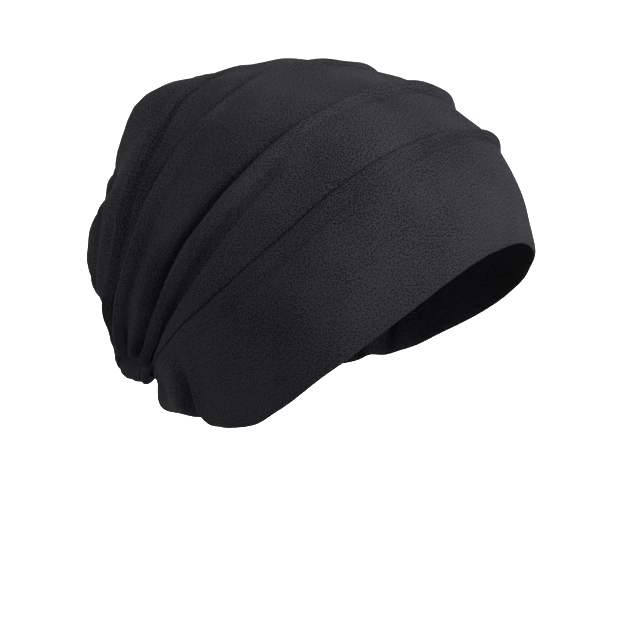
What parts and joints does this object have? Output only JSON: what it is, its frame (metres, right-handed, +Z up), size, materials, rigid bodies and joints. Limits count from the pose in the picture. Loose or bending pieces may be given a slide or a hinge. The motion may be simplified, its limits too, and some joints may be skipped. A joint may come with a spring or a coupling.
{
  "type": "pleated cotton head cap",
  "caption": "Slouchy head cap of plain cotton jersey with a wide smooth front band, overlapping pleats that run over the crown to the nape, and a rounded back.",
  "frame": {"origin": "the point inside the crown where the top of the wearer's head sits, on the cap's middle plane", "axes": "+Z up as worn, the wearer faces -Y, +X is the wearer's left"},
  "size_m": [0.1662, 0.2149, 0.1616],
  "materials": {
    "band_jersey": "matt black cotton jersey, double layer",
    "crown_jersey": "matt black cotton jersey"
  },
  "bodies": {
    "root": {"front_band": "band_jersey", "first_pleat": "crown_jersey", "second_pleat": "crown_jersey", "third_pleat": "crown_jersey", "fourth_pleat": "crown_jersey", "crown_back": "crown_jersey"}
  },
  "joints": []
}
